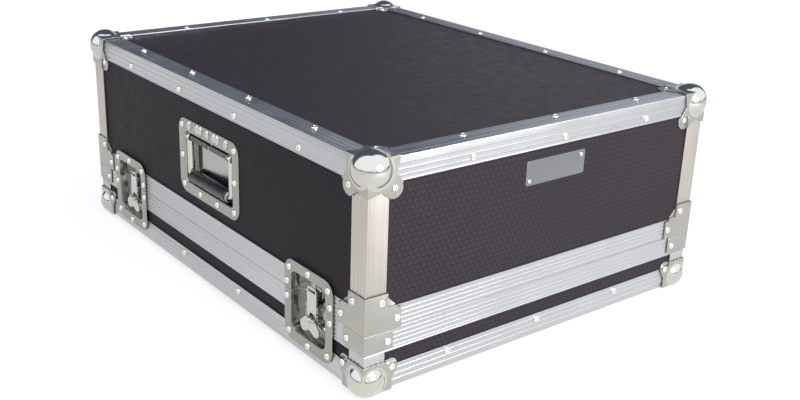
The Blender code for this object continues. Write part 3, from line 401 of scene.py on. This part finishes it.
# The rivets. Steel blind rivets with a low domed head and the broken stem in the middle. They hold the profiles
# and fittings to the boards.
RIVET_PROFILE = (
    (0.0046, -0.0006), (0.0046, 0.0004), (0.0044, 0.0009), (0.0039, 0.0014), (0.0031, 0.0018),
    (0.0022, 0.0020), (0.0016, 0.0020), (0.0014, 0.0017), (0.0013, 0.0006), (0.0, 0.0008),
)


def lathe(bm, profile, placing, segments=20):
    """Adds a turned shape, with its profile as (radius, height) from the outside in."""
    rings = []
    for radius, height in profile:
        if radius == 0:
            rings.append([bm.verts.new(placing @ Vector((0, 0, height)))])
            continue
        turns = [2 * math.pi * step / segments for step in range(segments)]
        rings.append(
            [bm.verts.new(placing @ Vector((radius * math.cos(a), radius * math.sin(a), height))) for a in turns]
        )
    for ring, inner in zip(rings, rings[1:]):
        for index in range(segments):
            following = (index + 1) % segments
            if len(inner) == 1:
                bm.faces.new((ring[index], ring[following], inner[0]))
            else:
                bm.faces.new((ring[index], ring[following], inner[following], inner[index]))


def finish_piece(name, bm, material, body, smooth=40):
    mesh = bpy.data.meshes.new(name)
    bm.to_mesh(mesh)
    bm.free()
    mesh.materials.append(material)
    mesh.shade_smooth()
    mesh.set_sharp_from_angle(angle=math.radians(smooth))
    obj = bpy.data.objects.new(name, mesh)
    scene.collection.objects.link(obj)
    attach(obj, body)
    return obj


FOOT_HEIGHT = 0.0095
CASE_HEIGHT = 0.2825
FACING = {
    "front": Matrix.Rotation(math.radians(90), 4, "X"),
    "back": Matrix.Rotation(math.radians(180), 4, "Z") @ Matrix.Rotation(math.radians(90), 4, "X"),
    "right": Matrix.Rotation(math.radians(90), 4, "Z") @ Matrix.Rotation(math.radians(90), 4, "X"),
    "left": Matrix.Rotation(math.radians(-90), 4, "Z") @ Matrix.Rotation(math.radians(90), 4, "X"),
}


def on_side(side, along, height, proud):
    """Where a fitting stands on one side, measured from the middle and from the case's underside."""
    distance = (CASE_DEPTH if side in ("front", "back") else CASE_LENGTH) / 2
    return FACING[side] @ Matrix.Translation((along, height + FOOT_HEIGHT, distance + proud))


def on_level(x, y, top, proud):
    if top:
        return Matrix.Translation((x, y, CASE_HEIGHT + FOOT_HEIGHT + proud))
    return Matrix.Translation((x, y, FOOT_HEIGHT - proud)) @ Matrix.Rotation(math.pi, 4, "X")


SKIRTED_PROFILE = ((0.0046, -0.0030),) + RIVET_PROFILE[1:]


def rivets(name, body, places, profile=RIVET_PROFILE):
    bm = bmesh.new()
    for placing in places:
        lathe(bm, profile, placing)
    return finish_piece(name, bm, rivet_steel, body)


BEAD = 0.00035
LEG_LINE = 0.021
LID_LINE = 0.262
BASE_SIDE_LINE = 0.020
BASE_END_LINE = 0.0205
LID_SIDE_PLACES = (-0.225, -0.075, 0.075, 0.225)
BASE_SIDE_PLACES = (-0.077, 0.077)
LID_END_PLACES = [CASE_DEPTH / 2 - distance for distance in (0.149, 0.299, 0.449)]
BASE_END_PLACES = [CASE_DEPTH / 2 - distance for distance in (0.125, 0.275, 0.423)]
upper, lower = [], []
for side, hand in (("front", 1), ("back", -1)):
    for along in LID_SIDE_PLACES:
        upper.append(on_side(side, along, LID_LINE, BEAD))
        upper.append(on_level(along, -hand * (CASE_DEPTH / 2 - LEG_LINE), True, BEAD))
    for along in BASE_SIDE_PLACES:
        lower.append(on_side(side, along, BASE_SIDE_LINE, BEAD))
        lower.append(on_level(along, -hand * (CASE_DEPTH / 2 - LEG_LINE), False, BEAD))
for side, hand in (("right", 1), ("left", -1)):
    for along in LID_END_PLACES:
        upper.append(on_side(side, -along * hand, LID_LINE, BEAD))
        upper.append(on_level(hand * (CASE_LENGTH / 2 - LEG_LINE), -along, True, BEAD))
    for along in BASE_END_PLACES:
        lower.append(on_side(side, -along * hand, BASE_END_LINE, BEAD))
        lower.append(on_level(hand * (CASE_LENGTH / 2 - LEG_LINE), -along, False, BEAD))
rivets("lid_edge_rivets", "lid", upper)
rivets("base_edge_rivets", "base", lower)


# The ball corners. One pressing each: a ball drawn out of the sheet over the case's corner, with a hollow fillet
# where it rises from the three flanges. The flange steps down on to the board, where its round lobe is riveted.
FITTING_TOP = 0.002
FITTING_STEP = -0.00065
LID_BALL = (0.0235, 0.0135)
BASE_BALL = (0.0225, 0.0130)
BALL_FILLET = 0.0024
BALL_SPAN = 2.36
BALL_GRID = 40
CORNER_SHARE = 0.15
CORNER_CUT = 0.0036
LID_LOBES = (
    (0.0368, CASE_HEIGHT - 0.0353, FITTING_STEP), (0.022, 0.1127, FITTING_TOP), (0.0445, 0.0888, FITTING_TOP),
)
BASE_LOBES = ((0.032, 0.062, FITTING_TOP), (0.039, 0.0272, FITTING_TOP))
TOP_LOBE = 0.0363
UNDER_LOBE = 0.0325
CORNER_NAMES = ("front_left", "front_right", "back_right", "back_left")


def flanges(node, outward, corner):
    """The riveted flanges of one corner, open under the ball."""
    diagonal = sum(outward, Vector()).normalized()
    bm = bmesh.new()
    bm.from_mesh(nodes[node].data)
    ball_faces = []
    for face in bm.faces:
        from_corner = face.calc_center_median() - corner
        if max(from_corner.dot(axis) for axis in outward) > FITTING_TOP + 0.00005:
            ball_faces.append(face)
    bmesh.ops.delete(bm, geom=ball_faces, context="FACES")
    everything = list(bm.verts) + list(bm.edges) + list(bm.faces)
    cut = corner - diagonal * CORNER_CUT
    bmesh.ops.bisect_plane(bm, geom=everything, plane_co=cut, plane_no=diagonal, clear_outer=True)
    return bm


def ball(outward, corner, radius, inset):
    """The ball and its hollow fillets. Along each ray from its centre the skin is the further of the sphere and the
    flanges, with a soft step between them, and the sphere alone over the case's own corner."""
    bm = bmesh.new()
    centre = corner - inset * sum(outward, Vector())
    plane = inset + FITTING_TOP + 0.00002
    for axis in range(3):
        first, second, third = outward[(axis + 1) % 3], outward[(axis + 2) % 3], outward[axis]
        grid = {}
        for row in range(BALL_GRID + 1):
            for column in range(BALL_GRID + 1):
                across, along = 1 - BALL_SPAN * row / BALL_GRID, 1 - BALL_SPAN * column / BALL_GRID
                ray = (across * first + along * second + third).normalized()
                to_flange = plane / ray.dot(third)
                past_corner = -CORNER_SHARE - min(across, along)
                if to_flange > radius + BALL_FILLET * 1.15 and past_corner > 0:
                    continue
                step = max(BALL_FILLET - abs(to_flange - radius), 0) ** 2 / (4 * BALL_FILLET)
                share = min(max(past_corner / (2 * CORNER_SHARE), 0), 1)
                share = share * share * (3 - 2 * share)
                reach = radius + share * (max(to_flange, radius) + step - radius)
                grid[row, column] = bm.verts.new(centre + ray * reach)
        for row, column in list(grid):
            ring = [(row, column), (row + 1, column), (row + 1, column + 1), (row, column + 1)]
            if all(place in grid for place in ring):
                bm.faces.new([grid[place] for place in ring])
    bmesh.ops.remove_doubles(bm, verts=bm.verts, dist=0.00002)
    bm.normal_update()
    inward = [face for face in bm.faces if face.normal.dot(face.calc_center_median() - centre) < 0]
    bmesh.ops.reverse_faces(bm, faces=inward)
    return bm


lobes_up, lobes_down = [], []
for name in CORNER_NAMES:
    hand_x = 1 if name.endswith("right") else -1
    hand_y = 1 if name.startswith("back") else -1
    x, y = hand_x * CASE_LENGTH / 2, hand_y * CASE_DEPTH / 2
    for upper_corner, body in ((True, "lid"), (False, "base")):
        z = FOOT_HEIGHT + (CASE_HEIGHT if upper_corner else 0)
        outward = [Vector((hand_x, 0, 0)), Vector((0, hand_y, 0)), Vector((0, 0, 1 if upper_corner else -1))]
        corner = Vector((x, y, z))
        node = f"{body}_ball_corner_{name}"
        pressing = finish_piece(f"{body}_flanges_{name}", flanges(node, outward, corner), zinc_plate, body)
        soften(pressing, 0.0004)
        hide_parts(node)
        bm = ball(outward, corner, *(LID_BALL if upper_corner else BASE_BALL))
        finish_piece(f"{body}_ball_{name}", bm, ball_plate, body, 60)
    front = "back" if hand_y > 0 else "front"
    end = "right" if hand_x > 0 else "left"
    along_front = -hand_y * hand_x
    along_end = hand_x * hand_y
    for side, along, span in ((front, along_front, CASE_LENGTH / 2), (end, along_end, CASE_DEPTH / 2)):
        for lobes, wanted in ((lobes_up, LID_LOBES), (lobes_down, BASE_LOBES)):
            for inset, height, proud in wanted:
                lobes.append(on_side(side, along * (span - inset), height, proud))
    lobes_up.append(on_level(x - hand_x * TOP_LOBE, y - hand_y * TOP_LOBE, True, FITTING_STEP))
    lobes_down.append(on_level(x - hand_x * UNDER_LOBE, y - hand_y * UNDER_LOBE, False, FITTING_TOP))
rivets("lid_corner_rivets", "lid", lobes_up, SKIRTED_PROFILE)
rivets("base_corner_rivets", "base", lobes_down, SKIRTED_PROFILE)


# The name plate. A thin brushed aluminium plate with round corners, left bare, held by two small rivets on the
# right-hand end of the lid.
PLATE_FROM_FRONT = (0.2375, 0.3385)
PLATE_HEIGHTS = (0.208, 0.240)
PLATE_CORNER = 0.0032
PLATE_FACE = 0.0008
PLATE_STEPS = ((0, -0.0003), (0, 0.0005), (0.0003, 0.0009), (0.0009, 0.0011), (0.0016, 0.0009), (0.0020, PLATE_FACE))
PLATE_RIVETS = ((0.3315, 0.2335), (0.2435, 0.2140))
BOARD_INSET = 0.0023
CORNER_STEPS = 8


def rounded_loop(bm, left, right, low, high, radius, height, placing):
    """One closed row of points round a rectangle with round corners."""
    loop = []
    for x, y, start in ((right, high, 0), (left, high, 90), (left, low, 180), (right, low, 270)):
        middle_x = x - math.copysign(radius, x - (left + right) / 2)
        middle_y = y - math.copysign(radius, y - (low + high) / 2)
        for step in range(CORNER_STEPS + 1):
            angle = math.radians(start + 90 * step / CORNER_STEPS)
            point = (middle_x + radius * math.cos(angle), middle_y + radius * math.sin(angle), height)
            loop.append(bm.verts.new(placing @ Vector(point)))
    return loop


def pressed(bm, rows, placing, close_first=False):
    """Joins rows of (left, right, low, high, radius, height) into a skin and closes the last one."""
    loops = [rounded_loop(bm, *row, placing) for row in rows]
    for loop, following in zip(loops, loops[1:]):
        for index in range(len(loop)):
            bm.faces.new((loop[index - 1], loop[index], following[index], following[index - 1]))
    bm.faces.new(loops[-1])
    if close_first:
        bm.faces.new(loops[0][::-1])


brushed_plate, tree, shader = new_material("brushed name plate", (0.21, 0.207, 0.22), 0.30, 1)
brushing = noise(tree, 900, 3, (1, 1, 60))
tree.links.new(ranged(tree, brushing, 0.24, 0.40), shader.inputs["Roughness"])
bumped(tree, shader, brushing, 0.00001)
near, far = (CASE_DEPTH / -2 + distance for distance in PLATE_FROM_FRONT)
low, high = PLATE_HEIGHTS
bm = bmesh.new()
rows = []
for inset, rise in PLATE_STEPS:
    rows.append((near + inset, far - inset, low + inset, high - inset, PLATE_CORNER - inset, rise))
pressed(bm, rows, on_side("right", 0, 0, -BOARD_INSET))
finish_piece("name_plate", bm, brushed_plate, "lid", 50)
small_rivet = tuple((radius * 0.62, rise * 0.8) for radius, rise in RIVET_PROFILE)
plate_rivets = []
for distance, height in PLATE_RIVETS:
    plate_rivets.append(on_side("right", CASE_DEPTH / -2 + distance, height, PLATE_FACE - BOARD_INSET))
rivets("name_plate_rivets", "lid", plate_rivets, small_rivet)


# The catches. A pressed dish split at the joint line: the lid half carries the strike, the base half a plate with
# cheeks, and in them a hook, its key and the butterfly wing. The dish rims are riveted down all round.
CATCH_PLACES = (-0.2475, 0.2475)
KEEPER_RIVETS = ((-0.042, 0.1056), (0.042, 0.1056), (0, 0.1106), (-0.0465, 0.0855), (0.0465, 0.0855))
LATCH_RIVETS = ((-0.042, 0.0200), (0.042, 0.0200), (0, 0.0150), (-0.0465, 0.0655), (0.0465, 0.0655))
STRIKE_RIVETS = ((-0.0105, 0.0965), (0.0105, 0.0965))
STRIKE_FACE = -0.0097
CHEEK_RIVETS = ((-0.0190, 0.0425), (0.0190, 0.0425))
CHEEK_FACE = -0.0094
LIP_HALF_WIDTH = 0.0375
LIP_FLOOR = -0.0107
LIP_TOP = 0.0004
LIP_SHEET = 0.0009
LIP_BULGE = 0.0003
LID_LIP = (0.0763, 0.0777)
BASE_LIP = (0.0743, 0.0757)
keeper_rivets, latch_rivets, small_lid, small_base = [], [], [], []
for side in ("front", "back"):
    for centre in CATCH_PLACES:
        for made, wanted, proud in (
            (keeper_rivets, KEEPER_RIVETS, FITTING_TOP),
            (latch_rivets, LATCH_RIVETS, FITTING_TOP),
            (small_lid, STRIKE_RIVETS, STRIKE_FACE),
            (small_base, CHEEK_RIVETS, CHEEK_FACE),
        ):
            for offset, height in wanted:
                made.append(on_side(side, centre + offset, height, proud))


def joint_lip(bm, placing, low, high):
    """A turned lip along one dish half's open edge: down one wall of the well, over its floor and up the other."""
    half, floor, top = LIP_HALF_WIDTH, LIP_FLOOR, LIP_TOP
    outer = [(-half, top), (-half, floor), (half, floor), (half, top)]
    half, floor = half - LIP_SHEET, floor + LIP_SHEET
    inner = [(-half, top), (-half, floor), (half, floor), (half, top)]
    loops = []
    for height, bulge in ((low, 0), (low + LIP_BULGE, LIP_BULGE), (high - LIP_BULGE, LIP_BULGE), (high, 0)):
        there = [bm.verts.new(placing @ Vector((x, height, z))) for x, z in outer]
        back = [bm.verts.new(placing @ Vector((x - math.copysign(bulge, x), height, z + bulge))) for x, z in inner]
        loops.append(there + back[::-1])
    for loop, following in zip(loops, loops[1:]):
        for index in range(len(loop)):
            bm.faces.new((loop[index - 1], loop[index], following[index], following[index - 1]))
    for loop in (loops[0], loops[-1]):
        for index in range(3):
            bm.faces.new((loop[index], loop[index + 1], loop[6 - index], loop[7 - index]))
    bmesh.ops.recalc_face_normals(bm, faces=bm.faces)


lid_lips, base_lips = bmesh.new(), bmesh.new()
for side in ("front", "back"):
    for centre in CATCH_PLACES:
        joint_lip(lid_lips, on_side(side, centre, 0, 0), *LID_LIP)
        joint_lip(base_lips, on_side(side, centre, 0, 0), *BASE_LIP)


WING_RIM = 0.0010
BEAD_DEPTH = 0.0003
FLAT_AREA = 0.00005


def beaded(node):
    """A pressed part with its flat faces sunk a little inside a plain rim."""
    bm = bmesh.new()
    bm.from_mesh(nodes[node].data)
    bmesh.ops.remove_doubles(bm, verts=bm.verts, dist=0.00001)
    bmesh.ops.dissolve_limit(bm, angle_limit=math.radians(1), verts=bm.verts, edges=bm.edges)
    flats = [face for face in bm.faces if abs(face.normal.y) > 0.99 and face.calc_area() > FLAT_AREA]
    bmesh.ops.inset_region(bm, faces=flats, thickness=WING_RIM, use_even_offset=True)
    bmesh.ops.inset_region(bm, faces=flats, thickness=BEAD_DEPTH, depth=-BEAD_DEPTH, use_even_offset=True)
    return bm


BARREL = (
    (0.0010, 0.0095), (0.0022, 0.0095), (0.0026, 0.0091), (0.0026, 0.0079), (0.0023, 0.0076), (0.0026, 0.0073),
    (0.0026, 0.0061), (0.0023, 0.0058), (0.0026, 0.0055), (0.0026, 0.0042), (0.0022, 0.0038), (0.0010, 0.0038),
)
PIN_HEIGHT = 0.050
PIN_DEPTH = 0.0014
for side in ("front", "back"):
    for centre, hand in zip(CATCH_PLACES, ("left", "right")):
        name = f"{side}_{hand}"
        wing = beaded(f"catch_wing_{name}")
        pressing = finish_piece(f"wing_pressing_{name}", wing, polished_plate, f"wing_{name}")
        soften(pressing, 0.00022)
        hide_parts(f"catch_wing_{name}")
        barrels = bmesh.new()
        pin = on_side(side, centre if side == "front" else -centre, PIN_HEIGHT, -PIN_DEPTH)
        for quarter_turn in (90, -90):
            lathe(barrels, BARREL, pin @ Matrix.Rotation(math.radians(quarter_turn), 4, "Y"), 24)
        bmesh.ops.recalc_face_normals(barrels, faces=barrels.faces)
        finish_piece(f"wing_barrels_{name}", barrels, polished_plate, f"wing_{name}")
finish_piece("catch_lips_lid", lid_lips, ball_plate, "lid")
finish_piece("catch_lips_base", base_lips, ball_plate, "base")
rivets("catch_rivets_lid", "lid", keeper_rivets)
rivets("catch_rivets_base", "base", latch_rivets)
rivets("strike_rivets", "lid", small_lid, small_rivet)
rivets("catch_plate_rivets", "base", small_base, small_rivet)


# The handles. A pressed dish with a row of drawn bumps, a hinge rod across it inside two long torsion springs,
# and a steel bail with a moulded black rubber sleeve between two washers.
HANDLE_RIM = (-0.081, 0.081, 0.1175, 0.225, 0.018)
HANDLE_WELL = (-0.064, 0.064, 0.134, 0.206, 0.005)
WELL_DEPTH = 0.0155
HINGE_DEPTH = 0.005
HINGE_HEIGHT = 0.199
GRIP_HEIGHT = 0.1445
SPRING_WIRE = 0.0016
SPRING_RADIUS = 0.0036
SPRING_ENDS = ((-0.0495, -0.004), (0.004, 0.0495))
COIL_POINTS = 12
BUMPS = (-0.050, -0.0275, -0.0185, 0.0, 0.0185, 0.0275, 0.050)
BUMP_HEIGHT = 0.217
BUMP_SIZE = (0.0088, 0.0148, 0.0068, 1)
HINGE_PROFILE = ((0.003, -0.0644), (0.003, 0.0644))
HANDLE_RIVETS = ((0.071, 0.171), (0.069, 0.129), (0.0235, 0.1255), (0.071, 0.2145))
GRIP_PROFILE = (
    (0.0046, 0.0488), (0.0072, 0.0494), (0.0082, 0.0491), (0.0088, 0.0482), (0.0090, 0.0468), (0.0090, 0.0460),
)
WASHER_PROFILE = (
    (0.0043, 0.0494), (0.0076, 0.0494), (0.0076, 0.0500), (0.0072, 0.0503), (0.0047, 0.0503), (0.0043, 0.0500),
)
SMALLEST_CORNER = 0.0012


def inset_row(shape, inset, height):
    """A row for pressed(): the shape taken in all round, at a height."""
    left, right, low, high, radius = shape
    return (left + inset, right - inset, low + inset, high - inset, max(radius - inset, SMALLEST_CORNER), height)


rubber, tree, shader = new_material("moulded rubber", (0.010, 0.011, 0.014), 0.22, 0)
pits = noise(tree, 900, 3)
tree.links.new(ranged(tree, noise(tree, 120, 3), 0.16, 0.28), shader.inputs["Roughness"])
bumped(tree, shader, pits, 0.00004)
quarters = [math.radians(90 * step / 7) for step in range(7)]
dome = [(0.5 * math.cos(angle), 0.5 * math.sin(angle)) for angle in quarters] + [(0, 0.5)]
whole_grip = list(GRIP_PROFILE) + [(radius, -along) for radius, along in GRIP_PROFILE[::-1]]
sideways = Matrix.Rotation(math.pi / 2, 4, "Y")
handle_rivets = []
for side in ("front", "back"):
    dish_place = on_side(side, 0, 0, 0)
    bm = bmesh.new()
    rows = [
        inset_row(HANDLE_RIM, 0, -0.0021),
        inset_row(HANDLE_RIM, 0, -0.0011),
        inset_row(HANDLE_RIM, 0.0002, -0.0008),
        inset_row(HANDLE_RIM, 0.0006, FITTING_STEP),
        inset_row(HANDLE_WELL, -0.0022, FITTING_STEP),
        inset_row(HANDLE_WELL, -0.0012, -0.0009),
        inset_row(HANDLE_WELL, -0.0004, -0.0016),
        inset_row(HANDLE_WELL, 0, -0.0027),
        inset_row(HANDLE_WELL, 0.0004, 0.0020 - WELL_DEPTH),
        inset_row(HANDLE_WELL, 0.0010, 0.0008 - WELL_DEPTH),
        inset_row(HANDLE_WELL, 0.0024, -WELL_DEPTH),
    ]
    pressed(bm, rows, dish_place)
    bumps = bmesh.new()
    for along in BUMPS:
        bump_place = dish_place @ Matrix.Translation((along, BUMP_HEIGHT, FITTING_STEP - 0.0004))
        lathe(bumps, dome, bump_place @ Matrix.Diagonal(BUMP_SIZE), 24)
    rod_place = dish_place @ Matrix.Translation((0, HINGE_HEIGHT, -HINGE_DEPTH)) @ sideways
    lathe(bm, HINGE_PROFILE, rod_place)
    pressing = finish_piece(f"handle_pressing_{side}", bm, dish_plate, "lid", 45)
    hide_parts(f"handle_dish_{side}")
    finish_piece(f"handle_bumps_{side}", bumps, ball_plate, "lid", 60)
    coil = bpy.data.curves.new(f"handle_spring_{side}", "CURVE")
    coil.dimensions = "3D"
    coil.bevel_depth = SPRING_WIRE / 2
    coil.bevel_resolution = 2
    for start, end in SPRING_ENDS:
        steps = COIL_POINTS * round((end - start) / (SPRING_WIRE * 1.06))
        spline = coil.splines.new("POLY")
        spline.points.add(steps)
        for index, point in enumerate(spline.points):
            angle = math.radians(360 / COIL_POINTS * index)
            along = start + (end - start) * index / steps
            place = rod_place @ Vector((SPRING_RADIUS * math.cos(angle), SPRING_RADIUS * math.sin(angle), along))
            point.co = (*place, 1)
    coil.materials.append(spring_painted_dark)
    spring = bpy.data.objects.new(f"handle_spring_{side}", coil)
    scene.collection.objects.link(spring)
    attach(spring, "lid")
    for along, height in HANDLE_RIVETS:
        for hand in (-1, 1):
            handle_rivets.append(on_side(side, hand * along, height, FITTING_STEP))
    grip_place = dish_place @ Matrix.Translation((0, GRIP_HEIGHT, -HINGE_DEPTH)) @ sideways
    bm = bmesh.new()
    lathe(bm, whole_grip, grip_place, 40)
    bmesh.ops.recalc_face_normals(bm, faces=bm.faces)
    grip = finish_piece(f"grip_sleeve_{side}", bm, rubber, f"handle_{side}", 50)
    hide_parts(f"handle_grip_{side}")
    bm = bmesh.new()
    for hand in (-1, 1):
        turned = grip_place if hand > 0 else grip_place @ Matrix.Rotation(math.pi, 4, "X")
        lathe(bm, WASHER_PROFILE, turned, 32)
    finish_piece(f"grip_washers_{side}", bm, polished_plate, f"handle_{side}")
rivets("handle_rivets", "lid", handle_rivets)


# The foam bed. A block of dark grey polyethylene foam cut to the tray, with a round-cornered recess for the mixer.
FOAM_OUTER = (-0.3463, 0.3463, -0.2698, 0.2698, 0.006)
FOAM_RECESS = (-0.3013, 0.3013, -0.2248, 0.2248, 0.020)
FOAM_LOW = FOOT_HEIGHT + 0.0116
FOAM_HIGH = FOOT_HEIGHT + 0.050
RECESS_FLOOR = FOAM_LOW + 0.015
foam_grey, tree, shader = new_material("closed-cell foam", (0.035, 0.035, 0.038), 0.9, 0)
coordinates = add(tree, "ShaderNodeTexCoord")
cells = add(tree, "ShaderNodeTexVoronoi", {"Vector": coordinates.outputs["Object"], "Scale": 620})
tint = blend_colours(tree, cells.outputs["Distance"], (0.040, 0.040, 0.043, 1), (0.024, 0.024, 0.027, 1))
tree.links.new(tint, shader.inputs["Base Color"])
bumped(tree, shader, cells.outputs["Distance"], -0.0003)
bm = bmesh.new()
rows = [
    inset_row(FOAM_OUTER, 0, FOAM_LOW),
    inset_row(FOAM_OUTER, 0, FOAM_HIGH - 0.003),
    inset_row(FOAM_OUTER, 0.0009, FOAM_HIGH - 0.0009),
    inset_row(FOAM_OUTER, 0.003, FOAM_HIGH),
    inset_row(FOAM_RECESS, -0.003, FOAM_HIGH),
    inset_row(FOAM_RECESS, -0.0009, FOAM_HIGH - 0.0009),
    inset_row(FOAM_RECESS, 0, FOAM_HIGH - 0.003),
    inset_row(FOAM_RECESS, 0, RECESS_FLOOR + 0.002),
    inset_row(FOAM_RECESS, 0.002, RECESS_FLOOR),
]
pressed(bm, rows, Matrix.Identity(4), True)
foam = finish_piece("foam_bed", bm, foam_grey, "base", 60)
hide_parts("base_foam")
